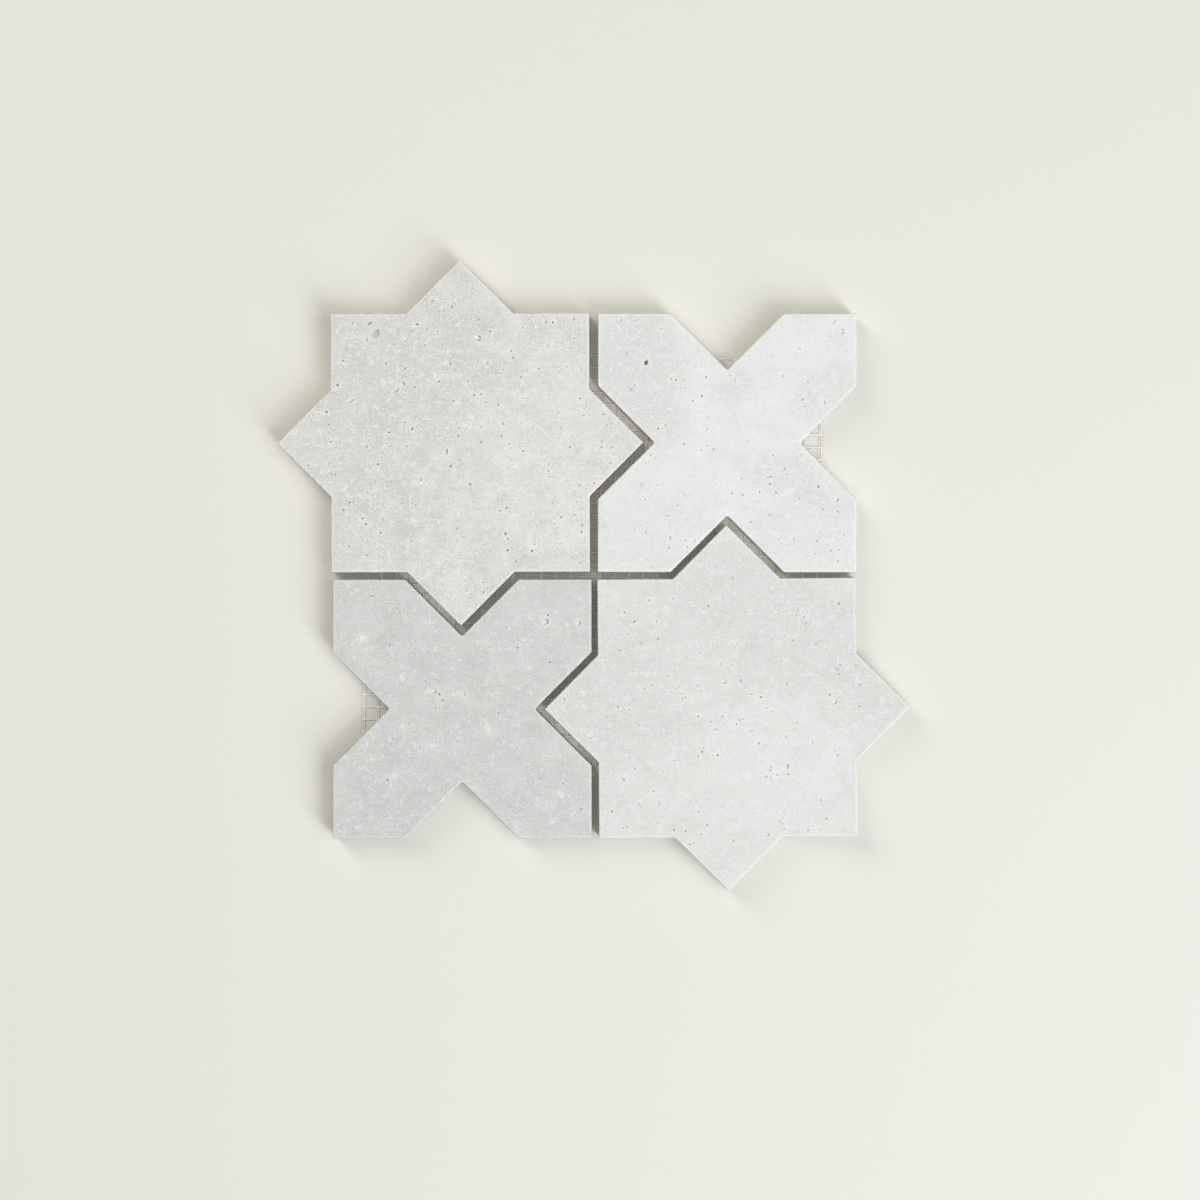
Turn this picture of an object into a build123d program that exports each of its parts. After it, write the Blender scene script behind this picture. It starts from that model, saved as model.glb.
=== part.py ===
"""Star and cross stone mosaic sheet: two stars and two crosses laid on a glass-fibre backing mesh.

Millimetres, +Z up, face side up. The origin is midway between the two stars, on the underside of the
mesh, which is the side that goes into the adhesive.
"""

from build123d import *
from math import floor, sqrt
import os

# Driving dimensions of the stone tiles
STAR_SPAN = 150.0  # across a star, from point to opposite point
TILE_THICKNESS = 10.0
JOINT = 3.0  # gap left between neighbouring tiles for the grout
NOTCH_RADIUS = 1.0  # left by the cutter in every inward corner
ARRIS_RADIUS = 0.8  # easing of the edges round the face

# Driving dimensions of the backing mesh
MESH_WIDTH = 189.0  # across the warp strands, cut ends included
MESH_LENGTH = 175.6  # across the weft strands, cut ends included
MESH_THICKNESS = 0.4
WARP_PITCH = 6.0
WEFT_PITCH = 5.1
WARP_STRAND = 1.6  # width of a warp strand, which is a pair of yarns side by side
WEFT_STRAND = 0.9
MESH_SHIFT = (-0.7, 4.5)  # the middle of the mesh, off the middle of the sheet
MESH_TURN = -1.5  # degrees, the mesh lies a little askew under the tiles

# How each tile was set by hand: off its even place along x and y, and turned in degrees
TILE_SETTING = {
    "star_tile_upper_left": (-0.23, -0.19, 0.18),
    "star_tile_lower_right": (0.23, 0.19, 0.40),
    "cross_tile_upper_right": (0.11, -0.21, -0.06),
    "cross_tile_lower_left": (0.56, -0.19, 0.05),
}

# Sizes that follow from the driving dimensions
STAR_SIDE = STAR_SPAN / sqrt(2)  # side of each of the two squares that make a star
TILE_PITCH = STAR_SIDE + JOINT


def star_outline():
    """Two equal squares about one middle, the second an eighth of a turn round."""
    return Rectangle(STAR_SIDE, STAR_SIDE) + Rectangle(STAR_SIDE, STAR_SIDE, rotation=45)


def cross_outline():
    """A square notched on each side by the point of a neighbouring star and the joint round it."""
    point_and_joint = Rectangle(STAR_SIDE + 2 * JOINT, STAR_SIDE + 2 * JOINT, rotation=45)
    outline = Rectangle(STAR_SIDE, STAR_SIDE)
    for neighbour in PolarLocations(TILE_PITCH, 4):
        outline -= neighbour * point_and_joint
    return outline


def stone_tile(outline, inward_corner_count):
    """A slab of the outline, with its inward corners rounded and its face edges eased."""
    corners = outline.vertices().sort_by_distance((0, 0, 0))
    outline = fillet(corners[:inward_corner_count], NOTCH_RADIUS)
    slab = extrude(outline, TILE_THICKNESS)
    face = slab.faces().sort_by(Axis.Z)[-1]
    return fillet(face.edges(), ARRIS_RADIUS)


def tile_place(node, column, row):
    """Where a tile lies on the mesh, from its column and row in the pattern and how it was set."""
    shift_x, shift_y, turn = TILE_SETTING[node]
    middle = (column * TILE_PITCH / 2 + shift_x, row * TILE_PITCH / 2 + shift_y, MESH_THICKNESS)
    return Pos(*middle) * Rot(0, 0, turn)


def strand_places(extent, strand, pitch):
    """Places of the strands that lie whole within the extent, evenly about its middle."""
    count = floor((extent - strand) / pitch) + 1
    return [(index - (count - 1) / 2) * pitch for index in range(count)]


def halves(places, extent):
    """Two groups of strands with the reach of each group, parted midway between two strands."""
    half = len(places) // 2
    seam = (places[half - 1] + places[half]) / 2
    return (places[:half], -extent / 2, seam), (places[half:], seam, extent / 2)


def mesh_quarter(warps, wefts):
    """A grid of flat strands in one piece, where the coating bonds warps and wefts at each crossing."""
    warp_places, left, right = warps
    weft_places, bottom, top = wefts
    warp = Rectangle(WARP_STRAND, top - bottom)
    weft = Rectangle(right - left, WEFT_STRAND)
    strands = [Pos(x, (bottom + top) / 2) * warp for x in warp_places]
    strands += [Pos((left + right) / 2, y) * weft for y in weft_places]
    return extrude(Sketch() + strands, MESH_THICKNESS)


def build_nodes():
    """All solids of the sheet by name, each where it lies."""
    star = stone_tile(star_outline(), 8)
    cross = stone_tile(cross_outline(), 4)
    nodes = {
        "star_tile_upper_left": tile_place("star_tile_upper_left", -1, 1) * star,
        "star_tile_lower_right": tile_place("star_tile_lower_right", 1, -1) * star,
        "cross_tile_upper_right": tile_place("cross_tile_upper_right", 1, 1) * cross,
        "cross_tile_lower_left": tile_place("cross_tile_lower_left", -1, -1) * cross,
    }
    mesh_place = Pos(*MESH_SHIFT) * Rot(0, 0, MESH_TURN)
    columns = halves(strand_places(MESH_WIDTH, WARP_STRAND, WARP_PITCH), MESH_WIDTH)
    rows = halves(strand_places(MESH_LENGTH, WEFT_STRAND, WEFT_PITCH), MESH_LENGTH)
    for row_name, wefts in zip(("lower", "upper"), rows):
        for column_name, warps in zip(("left", "right"), columns):
            node = f"backing_mesh_{row_name}_{column_name}"
            nodes[node] = mesh_place * mesh_quarter(warps, wefts)
    return nodes


os.makedirs("parts", exist_ok=True)
for name, solid in build_nodes().items():
    solid.label = name
    export_step(solid, f"parts/{name}.step")
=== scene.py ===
"""Looks of the star and cross stone mosaic sheet: pitted stone tiles on a woven glass-fibre mesh.

Shapes are worked out in millimetres and scaled to metres when a mesh is made.
"""

import math
import random
from bisect import bisect_right

import bpy
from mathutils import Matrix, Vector, noise
from mathutils.geometry import delaunay_2d_cdt


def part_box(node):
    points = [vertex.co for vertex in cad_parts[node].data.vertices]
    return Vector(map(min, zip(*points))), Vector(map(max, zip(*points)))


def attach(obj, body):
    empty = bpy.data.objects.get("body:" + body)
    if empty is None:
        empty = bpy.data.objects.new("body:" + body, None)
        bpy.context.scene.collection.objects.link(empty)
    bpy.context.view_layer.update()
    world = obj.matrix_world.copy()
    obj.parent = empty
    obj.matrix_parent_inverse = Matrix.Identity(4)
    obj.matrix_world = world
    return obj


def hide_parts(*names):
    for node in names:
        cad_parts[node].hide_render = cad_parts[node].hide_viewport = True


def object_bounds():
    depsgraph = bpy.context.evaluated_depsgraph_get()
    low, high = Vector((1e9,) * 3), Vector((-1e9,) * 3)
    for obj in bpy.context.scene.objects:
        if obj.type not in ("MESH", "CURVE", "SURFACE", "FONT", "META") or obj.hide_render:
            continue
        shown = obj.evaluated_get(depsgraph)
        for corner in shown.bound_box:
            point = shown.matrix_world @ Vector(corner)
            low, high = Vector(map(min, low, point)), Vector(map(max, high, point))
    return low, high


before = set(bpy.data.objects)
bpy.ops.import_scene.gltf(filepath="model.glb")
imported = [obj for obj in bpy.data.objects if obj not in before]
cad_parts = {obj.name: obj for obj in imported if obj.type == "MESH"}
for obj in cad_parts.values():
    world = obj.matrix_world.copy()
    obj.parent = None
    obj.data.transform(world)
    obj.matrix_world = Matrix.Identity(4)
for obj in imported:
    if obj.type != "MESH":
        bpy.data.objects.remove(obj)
CAD_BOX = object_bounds()

MM = 0.001

# Stone edges, in millimetres
ARRIS_DROP = 0.7  # how far the eased edge reaches down the side
ARRIS_INSET = 0.6  # how far it reaches into the face, on average
ARRIS_WANDER = 0.18
ARRIS_WANDER_LENGTH = 5.0
ARRIS_STEPS = 4
ARRIS_BORDER = 0.65  # strip of the face beside the arris, where its paleness ends
TIP_RADIUS = 0.35  # wear of the outward points
TIP_TURN = math.radians(30)  # least turn of the outline at a point that wears
TIP_STEPS = 3  # edges round a worn point
CORNER_TURN = 0.01  # radians, least turn of the outline where two sides meet
EDGE_SPACING = 1.3  # between the points along a tile's outline
CHIP_CHANCE = 0.012
CHIP_INSET = 0.9
CHIP_DEPTH = (0.4, 1.0)  # of a chip, as shares of that inset
CHIP_FROM_TIP = 3.5  # nearest to a tip that an edge is chipped
STONE_SHARP = math.radians(35)  # edges that turn by more are shaded sharp
WELD_DIGITS = 4  # places that agree to so many decimals are one point
NEAR = 0.001  # lengths that differ by less count as equal

# Pits: the size of one is its radius in millimetres, and its rings are shares of that radius
HALO_RING = 1.8
CLOSE_HALO = 1.15  # where another pit lies close
HALO_PALENESS = 0.45  # of the halo's edge, as a share of the rim's paleness, a painted highlight round pits
HALO_UNEVEN = 0.5  # how much of its rim's unevenness the halo keeps
# Rings of a round bottomed pit and of a flat bottomed one: share of the radius, share of the depth
BOWL = ((0.84, 0.5), (0.55, 0.92))
PAN = ((0.86, 0.5), (0.68, 0.92))
LEAN_TOWARDS = (-75, 50)  # degrees from +X between which the steep side of a leaning pit lies, where its painted shade is darkest
PIT_UNEVEN = (0.78, 1.16)  # how far a pit's rim strays from round, as shares of its radius
PIT_DEPTH_SPREAD = (0.8, 1.2)
PIT_STRETCH_SPREAD = (0.95, 1.1)
PIT_ROOM = 1.1  # room that a pit takes, as a share of its longest radius
PIT_SIDES = ((0.3, 7), (0.7, 10), (math.inf, 16))  # a radius, and the sides of pits smaller than that
SMALLEST_PIT = 0.18
PIT_SPREAD = 0.38
PIT_RARITY = 3  # the higher, the fewer of the small pits come near the largest size
SMALL_PIT_DEPTH = (0.5, 1.1)
# Small pits: how dark their painted shade is, and how pale the painted highlight on their rims
SMALL_PIT_DARK = (0.25, 0.7)
SMALL_PIT_RIM = (0.0, 0.75)
EDGE_MARGIN = 1.1  # kept clear of pits along a tile's edges
CLUSTER_CHANCE = 0.35  # that a small pit lies beside the one before it
CLUSTER_SPREAD = 1.5
DRIFT_SIZE = 16.0  # of the places where small pits lie thicker
DRIFT_MIDDLE = 0.5  # chance that a small pit stays, where they lie neither thick nor thin
FACE_GRID = 2.6  # between the points that fill a face
GRID_FROM_PIT = 0.3
GRID_FROM_BORDER = 0.7
SIDE_PITS_SHARE = 0.8  # of the number on the face
SIDE_PIT_SPREAD = 0.62
SIDE_MARGIN = 0.2  # kept clear of pits along the edges of the sides
BACK_PITS_SHARE = 0.3
# Steps between the tiles' own places in the noise, each taken as often as the tile's seed says
EDGE_NOISE = 3.1
DRIFT_NOISE = 7.3
COLOUR_NOISE = 310.0

# What each kind of mark on the stone looks like: its depth as a share of its radius, how dark the painted
# shade on its wall and its bottom is (wall, dark), how pale its rim and its middle are (rim, heart:
# painted highlight on the pits and craters, the stone's own paleness on a spot), how far it is drawn out
# (stretch), and how much steeper its wall is on one side, where its painted shade is darker too (lean)
MARK_KINDS = {
    "hole": dict(depth=1.1, wall=0.36, dark=0.72, rim=0.85, heart=0.0, stretch=1.1),
    "crater": dict(depth=0.4, wall=0.6, dark=0.0, rim=0.5, heart=1.0, stretch=1.05, lean=0.9, rings=PAN),
    "dent": dict(depth=0.3, wall=0.35, dark=0.2, rim=0.4, heart=0.0, stretch=1.12, lean=0.5, rings=PAN),
    "slit": dict(depth=0.65, wall=0.25, dark=0.5, rim=0.7, heart=0.1, stretch=1.6),
    "deep hole": dict(depth=1.4, wall=0.7, dark=1.25, rim=0.75, heart=0.0, stretch=1.02),
    "spot": dict(depth=0.05, wall=0.0, dark=0.0, rim=0.3, heart=0.8, stretch=1.3),
}

# Marks that stand out on each tile: x and y from the tile's middle, the radius and, for some, the way in
# degrees in which the mark is long and steep
STAR_UPPER_LEFT_MARKS = {
    "hole": [
        (-17.7, 48.5, 0.6), (-38.3, 42.1, 0.45), (-30.4, 32.4, 0.55), (-47.9, 33.6, 0.45),
        (-18.6, 22.7, 0.5), (-8.8, 25.1, 0.5), (-50.3, 23.6, 0.65), (-54.8, 12.6, 0.6),
        (5.6, 19.5, 0.45), (10.7, 16.5, 0.45), (-19.7, 5.7, 0.55), (-29.2, 4.3, 0.5),
        (-53.0, 0.4, 0.45), (-3.9, -9.5, 0.6), (-33.6, -8.8, 0.55), (4.1, -17.0, 0.55),
        (-45.4, -24.5, 0.5), (-40.1, -30.9, 0.5), (-38.6, -33.4, 0.55), (-32.7, -36.9, 0.5),
        (16.2, -27.9, 0.45), (18.6, -37.3, 0.6), (19.5, -39.4, 0.5), (19.3, -44.1, 0.55),
        (29.4, -44.3, 0.6), (30.4, -41.6, 0.4), (49.7, -36.5, 0.5), (49.2, -49.0, 0.4),
        (36.1, -11.6, 0.45), (36.3, -14.0, 0.4), (50.6, 11.3, 0.4), (49.2, 18.1, 0.45),
        (37.9, 49.3, 0.5), (35.1, 49.5, 0.45), (9.5, -57.2, 0.45), (9.5, -61.2, 0.45),
        (-2.7, 17.2, 0.5), (8.6, 20.0, 0.42), (24.9, 26.9, 0.42), (25.5, 18.3, 0.36),
        (17.6, 29.9, 0.36), (11.3, 32.5, 0.42), (12.2, 45.6, 0.42), (-9.2, 45.6, 0.36),
        (44.9, -1.8, 0.5), (8.6, 6.3, 0.38), (2.4, 5.7, 0.38),
    ],
    "crater": [
        (7.0, 42.9, 1.4, -15), (-22.5, 42.1, 0.8), (-23.7, 23.9, 1.15, 40), (-26.2, 21.7, 0.95, -80),
        (-17.8, 7.5, 0.9), (-54.3, -8.6, 0.8), (-0.4, -7.4, 0.6),
    ],
    "dent": [(-34.5, 44.4, 1.7, 60)],
    "slit": [(-37.1, 48.8, 0.85, 55), (-44.3, 17.2, 0.7, 45), (-5.4, -3.6, 0.8, 90)],
    "spot": [
        (22.9, -9.8, 1.2), (-18.5, -51.0, 1.0), (-8.8, -49.3, 0.9), (4.5, 10.4, 1.6),
        (24.6, 24.3, 1.2), (43.4, 3.4, 1.5),
    ],
}
CROSS_UPPER_RIGHT_MARKS = {
    "deep hole": [(-33.3, 32.8, 0.96, 75)],
    "hole": [
        (-10.4, 19.2, 0.55), (-14.2, 17.2, 0.45), (-8.7, 27.0, 0.5),
        (-20.9, 25.8, 0.45), (-22.9, 26.1, 0.4), (-38.1, 23.6, 0.35), (-28.3, 5.7, 0.5),
        (30.8, 17.7, 0.45), (18.8, -5.2, 0.4), (17.5, -16.9, 0.55), (13.2, -20.3, 0.45),
        (20.0, -20.5, 0.45), (1.9, -20.7, 0.45), (6.3, -21.4, 0.4), (37.4, -17.9, 0.6),
        (9.5, -32.4, 0.45), (-24.0, -43.0, 0.5), (-16.4, -42.6, 0.4), (-20.3, -25.6, 0.35),
        (-30.7, -50.6, 0.4), (45.4, -48.5, 0.4), (45.8, -43.9, 0.4),
    ],
    "crater": [
        (-44.1, 50.3, 0.95), (-37.6, 50.4, 0.6), (43.6, 49.9, 0.9), (39.5, 16.3, 0.9),
        (23.1, -10.8, 0.8), (44.7, -23.4, 1.0), (27.0, -39.3, 0.75), (-23.7, -39.0, 0.8),
        (-34.0, -22.9, 0.7),
    ],
    "slit": [(17.2, -14.1, 0.8, 15)],
    "spot": [(-29.2, 23.2, 1.6), (25.2, -20.3, 2.0), (-42.8, -50.0, 0.9), (44.8, 17.9, 0.55)],
}
CROSS_LOWER_LEFT_MARKS = {
    "hole": [
        (35.2, 38.4, 0.5), (27.9, 29.6, 0.35), (-9.3, 6.0, 0.6), (-19.0, -42.5, 0.35),
        (14.8, -1.6, 0.4),
    ],
    "crater": [
        (34.1, 35.7, 1.3), (47.6, 35.2, 1.0), (-11.4, 7.3, 1.0), (26.1, 27.9, 0.7),
        (0.5, 6.0, 0.8),
    ],
    "spot": [
        (-41.0, 29.0, 2.2), (-44.0, 21.3, 0.6), (-14.3, 7.1, 0.8), (-3.6, 5.8, 0.7),
        (12.5, -1.7, 1.0), (10.7, -8.3, 1.5), (-2.1, -6.9, 0.8), (-24.5, -6.9, 1.2),
        (-12.0, -14.9, 1.2), (-36.9, -20.6, 0.7), (-27.8, -27.3, 1.1), (40.6, -35.0, 1.5),
        (37.0, -46.0, 1.0), (-48.7, -46.4, 1.85), (27.5, 16.9, 0.8),
        (-24.5, 13.0, 1.3),
    ],
}
STAR_LOWER_RIGHT_MARKS = {
    "hole": [
        (-32.2, 44.2, 0.4), (-42.3, 39.0, 0.4), (-41.0, 30.2, 0.45), (-29.2, 35.5, 0.4),
        (-24.4, 12.9, 0.4), (13.6, 4.4, 0.55), (18.3, -1.4, 0.45), (15.8, 0.0, 0.4),
        (-45.0, 0.5, 0.5), (-40.3, -0.6, 0.4), (-66.8, 3.6, 0.45), (-7.0, -5.5, 0.45),
        (-12.0, -3.5, 0.45), (12.8, -14.5, 0.5), (-10.5, -17.9, 0.5), (-12.0, -19.9, 0.45),
        (-4.1, -19.4, 0.5), (25.0, -27.2, 0.45), (20.3, -27.4, 0.4), (-37.9, -24.9, 0.4),
        (-17.2, -50.6, 0.5), (-14.0, -55.2, 0.4), (-12.0, -42.3, 0.4), (-55.7, -12.2, 0.35),
        (-4.1, -66.1, 0.35), (23.2, -49.7, 0.35),
    ],
    "crater": [
        (-3.1, 18.0, 0.9), (-1.4, 10.7, 1.0), (44.1, 2.4, 0.75), (34.5, -14.3, 0.65),
        (-28.4, -39.0, 0.6), (-36.8, -39.3, 0.7),
    ],
    "slit": [(24.7, -23.9, 0.8, 80), (-42.8, -29.3, 0.8, 135)],
    "spot": [(8.8, -27.9, 0.9), (50.4, -29.3, 0.8), (-24.5, 41.0, 1.0)],
}

PIT_COLOUR = (112, 100, 88)  # painted shade at the bottom of a dark pit; also the dark of the streaks down the cut sides

# Each tile: its slot, its seed, its colours as displayed (tone, shade and light on the face, cut on the
# sides, darkened partly as painted shade for the joints), how pale its edges are (partly bruised stone,
# partly a painted highlight), how dark the painted shade in its pits is, how many small pits its face has,
# how strong its mottling and grain are, and clouds of greyer or paler stone.
# A cloud: x and y from the tile's middle, two radii, a turn in degrees and a strength, below 0 for paler
TILES = {
    "star_tile_upper_left": dict(
        slot="stone_warm_grey", seed=3, marks=STAR_UPPER_LEFT_MARKS,
        tone=(221, 222, 220), shade=(203, 202, 198), light=(238, 239, 238), cut=(196, 181, 157),
        bruise_and_highlight=0.6, pit_dark=0.85, pits=560, mottle=1.05, grain=1.3,
        clouds=[(-28, 30, 42, 30, 20, 0.3), (-40, -22, 30, 26, 0, 0.25), (40, -5, 30, 38, 0, -0.3)],
    ),
    "star_tile_lower_right": dict(
        slot="stone_light_grey", seed=5, marks=STAR_LOWER_RIGHT_MARKS,
        tone=(226, 228, 226), shade=(211, 212, 210), light=(237, 239, 238), cut=(194, 179, 156),
        bruise_and_highlight=0.65, pit_dark=0.72, pits=430, mottle=0.8, grain=0.95,
        clouds=[(12, 38, 44, 26, -25, 0.3), (58, 8, 20, 20, 0, 0.35), (-48, 4, 26, 30, 0, 0.4),
                (20, -24, 34, 26, 10, -0.35)],
    ),
    "cross_tile_upper_right": dict(
        slot="stone_white", seed=7, marks=CROSS_UPPER_RIGHT_MARKS,
        tone=(235, 238, 237), shade=(214, 215, 213), light=(241, 243, 242), cut=(206, 193, 171),
        bruise_and_highlight=0.75, pit_dark=0.7, pits=230, mottle=0.6, grain=0.75,
        clouds=[(-36, 28, 18, 30, 5, 0.55), (3, 22, 9, 7, 0, 0.35), (42, 22, 12, 9, 0, 0.3),
                (30, -18, 22, 9, -20, 0.4), (32, -38, 22, 16, 0, 0.22), (-33, -38, 22, 18, 0, 0.2)],
    ),
    "cross_tile_lower_left": dict(
        slot="stone_cool_grey", seed=11, marks=CROSS_LOWER_LEFT_MARKS,
        tone=(210, 212, 210), shade=(196, 197, 196), light=(228, 230, 229), cut=(164, 150, 129),
        bruise_and_highlight=0.35, pit_dark=0.8, pits=130, mottle=0.75, grain=1.15,
        clouds=[(35, 35, 24, 20, 0, -0.15), (-25, -35, 26, 20, 0, 0.2)],
    ),
}

# Noise in the stone: size in millimetres, detail and, for most, roughness
MOTTLE = (11, 7, 0.62)
FLECK = (2.6, 4, 0.62)
GRAIN = (0.8, 3, 0.65)
STREAK = (0.9, 4, 0.6)
RELIEF = (0.5, 3, 0.65)
PATCH = (9, 3)
WARMTH = (5, 4)
POLISH = (4, 3)
# Steps made of that noise: from and to, and for most the values at both ends
PALE_MOTTLE = (0.45, 0.74)
DARK_MOTTLE = (0.52, 0.26)
MOTTLE_STRENGTH = 0.7
PALE_FLECK = (0.53, 0.71, 0, 0.9)
DARK_FLECK = (0.46, 0.28, 0, 0.6)
PALE_GRAIN = (0.52, 0.7, 0, 1.0)
DARK_GRAIN = (0.46, 0.3, 0, 0.9)
PATCH_GRAIN = (0.38, 0.62, 0.65, 1.3)
WARM_PLACES = (0.4, 0.65)
BROKEN_PALE = (0.35, 0.6, 0.35, 1.0)  # grain that breaks up the pale rims and edges
PALE_STREAK = (0.52, 0.72, 0, 0.4)
DARK_STREAK = (0.47, 0.28, 0, 0.35)
ROUGHNESS = (0.3, 0.7, 0.5, 0.66)
CLOUD_EDGE = (1.4, 0.6)  # shares of a cloud's radii between which it fades in
CLOUD_STRAY = (18, 4.0, 24)  # how a cloud's edge strays: size, detail and reach
ELSEWHERE = (0, 70.0, 0)  # where patches and warmth lie in the noise, from the rest
WARM_TINT = (1.0, 0.985, 0.965, 1.0)
PALE_COLOUR = (246, 246, 243)  # of the pale edges (partly bruised, partly a painted highlight), of the painted highlight round pits and in craters, and of pale spots
CUT_SLOPE = (0.25, 0.1)  # upright part of the normal between which a face counts as a cut side
CUT_STRENGTH = 0.6
STREAK_DRAW = (1.0, 1.0, 0.18)  # draws the streaks of the cut sides out upwards
STREAK_RELIEF = 1.6
STONE_BUMP = {"Strength": 0.4, "Distance": 0.08 * MM}
STONE_SPECULAR = 0.35

# Backing mesh, in millimetres, laid as in the solid one
MESH_WIDTH = 189.0
MESH_LENGTH = 175.6
WARP_PITCH = 6.0
WEFT_PITCH = 5.1
WARP_COUNT = 32
WEFT_COUNT = 35
MESH_SHIFT = (-0.7, 4.5)
MESH_TURN = math.radians(-1.5)
WARP_YARN = (0.78, 0.34)  # width and thickness of each of a warp's two yarns
WEFT_YARN = (0.94, 0.37)
YARN_APART = 0.4  # each warp yarn from the middle of its strand
WARP_HIGH = 0.228  # height of a warp yarn where it passes over a weft
WARP_LOW = 0.172
WEFT_HEIGHT = 0.2
CUT_SHORT = 0.5  # at most, where a yarn's outer end is cut
YARN_SIDES = 8
YARN_FLANK_SHADE = (100, 84, 60)  # painted shade on a yarn's sides, standing in for the shadow lines beside each strand
YARN_STEPS = (4, 3)  # of a warp yarn between two wefts and of a weft yarn between two warps
YARN_WANDER = 0.14
WANDER_LENGTH = 23.0
WANDER_STEP = 0.37  # between neighbouring yarns' places in the noise, for each millimetre between them
WARP_NOISE = 1.5
WEFT_NOISE = 5.5
WARP_SLACK = 0.45  # how far a warp yarn keeps up or down midway between two wefts, as a share
SHORTEST_STEP = 0.01
YARN_SHARP = math.radians(60)  # edges that turn by more are shaded sharp
MESH_SEED = 17
# A loose end of warp yarn that curls through the upper joint: x and y on the sheet
LOOSE_END = [
    (-1.4, 91.5), (-2.2, 94.6), (-2.2, 97.6), (-1.6, 99.3), (-0.9, 98.9),
    (-0.65, 97.6), (-0.2, 96.9), (0.5, 96.6), (1.3, 96.7), (2.2, 97.1),
]
LOOSE_YARN = (0.5, 0.16)
YARN_COLOURS = ((240, 239, 233), (254, 253, 249))  # of its filaments
YARN_COATING = (247, 245, 237)
FILAMENT_DRAW = (14.0, 0.35, 1.0)  # draws the filaments out along the yarn
FILAMENT_RANGE = (0.3, 0.7)
COATING = (3.0, 3)  # noise, as in the stone
COATED_PLACES = (0.5, 0.75, 0, 0.4)
FLANK_SHADE_SLOPE = (0.96, 0.6)  # upright part of the normal between which the painted shade on the yarn's flank begins
YARN_BUMP = {"Strength": 0.5, "Distance": 0.04 * MM}
YARN_ROUGHNESS = 0.2
YARN_SPECULAR = 1.0

# Studio, in metres
FLOOR_COLOUR = (236, 235, 228)
FLOOR_ROUGHNESS = 0.7
FLOOR_SPECULAR = 0.1
FLOOR_SIZE = 12.0
FLOOR_FADE = (0.4, 0.9)  # from the sheet, between which the floor passes into the backdrop
SKY_STRENGTH = 0.05
BACKDROP_STRENGTH = 0.97  # of the sky where the camera sees it
LAMP_DISTANCE = 2.4
COOL = (1.0, 1.02, 1.05)
PLAIN = (1.0, 1.0, 0.985)
WARM = (1.0, 0.97, 0.9)
# Each lamp: azimuth from +X and elevation in degrees, width and height, power in watts and tint
LAMPS = {
    "key": (-45, 38, 1.0, 2.1, 34.8, COOL),
    "side": (0, 50, 1.3, 1.3, 7.7, COOL),
    "fill": (135, 36, 1.0, 2.1, 24.0, WARM),
    "top": (0, 90, 3.1, 3.1, 21.6, PLAIN),
}
CAMERA_OFFSET = (2.5, -10.1)  # of the optical axis from the middle of the sheet, in millimetres
CAMERA_HEIGHT = 990.0  # above the tiles' face, in millimetres
VIEW_WIDTH = 491.6  # of the picture at the tiles' face, in millimetres
SENSOR_WIDTH = 36.0  # in millimetres


def srgb(colour):
    """A displayed colour of 0 to 255 as the linear colour that a shader takes."""
    shares = [v / 255 for v in colour]
    linear = [c / 12.92 if c <= 0.04045 else ((c + 0.055) / 1.055) ** 2.4 for c in shares]
    return (*linear, 1.0)


class Shell:
    """Gathers the faces of one closed piece, joining points that coincide."""

    def __init__(self):
        self.known = {}
        self.points = []
        self.values = {"pit": [], "pale": []}
        self.faces = []

    def point(self, place, pit=0.0, pale=0.0):
        key = tuple(round(c, WELD_DIGITS) for c in place)
        if key not in self.known:
            self.known[key] = len(self.points)
            self.points.append(place)
            self.values["pit"].append(pit)
            self.values["pale"].append(pale)
        return self.known[key]

    def face(self, *corners):
        """Adds a face, without the corners that repeat the one before."""
        distinct = [c for i, c in enumerate(corners) if c != corners[i - 1]]
        if len(distinct) > 2 and len(set(distinct)) == len(distinct):
            self.faces.append(distinct)


def make_object(name, points, faces, values, material, sharp_angle):
    """A mesh object in metres, with a value for each point under each name in values."""
    mesh = bpy.data.meshes.new(name)
    mesh.from_pydata([tuple(c * MM for c in p) for p in points], [], faces)
    for value_name, numbers in values.items():
        layer = mesh.attributes.new(value_name, "FLOAT", "POINT")
        layer.data.foreach_set("value", numbers)
    mesh.shade_smooth()
    mesh.set_sharp_from_angle(angle=sharp_angle)
    mesh.materials.append(material)
    mesh.validate()
    made = bpy.data.objects.new(name, mesh)
    bpy.context.scene.collection.objects.link(made)
    return made


# Outlines


def underside_outline(node):
    """The outline of a solid tile's underside in order, anticlockwise, in millimetres."""
    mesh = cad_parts[node].data
    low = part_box(node)[0].z
    places = [tuple(round(c / MM, WELD_DIGITS) for c in v.co) for v in mesh.vertices]
    count = {}
    mesh.calc_loop_triangles()
    for triangle in mesh.loop_triangles:
        corners = [places[i] for i in triangle.vertices]
        if all(abs(c[2] - low / MM) < NEAR for c in corners):
            for a, b in zip(corners, corners[1:] + corners[:1]):
                count[(a, b)] = count.get((a, b), 0) + 1
    following = {b: a for a, b in count if (b, a) not in count}
    start = next(iter(following))
    loop = [start]
    while following[loop[-1]] != start:
        loop.append(following[loop[-1]])
    return [Vector(p[:2]) for p in loop]


def turn_at(loop, i):
    """How far the outline turns left at a point, in radians."""
    before = loop[i] - loop[i - 1]
    after = loop[(i + 1) % len(loop)] - loop[i]
    return math.atan2(before.x * after.y - before.y * after.x, before.dot(after))


def worn_tips(loop):
    """The sharp outward points of an outline.

    Each is given by the middle of its wear and the move there that lies inward by 1.
    """
    tips = {}
    for i, tip in enumerate(loop):
        turn = turn_at(loop, i)
        if turn > TIP_TURN:
            back = (loop[i - 1] - tip).normalized()
            along = (loop[(i + 1) % len(loop)] - tip).normalized()
            move = (back + along).normalized() / math.cos(turn / 2)
            tips[i] = (tip + move * TIP_RADIUS, move)
    return tips


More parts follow.
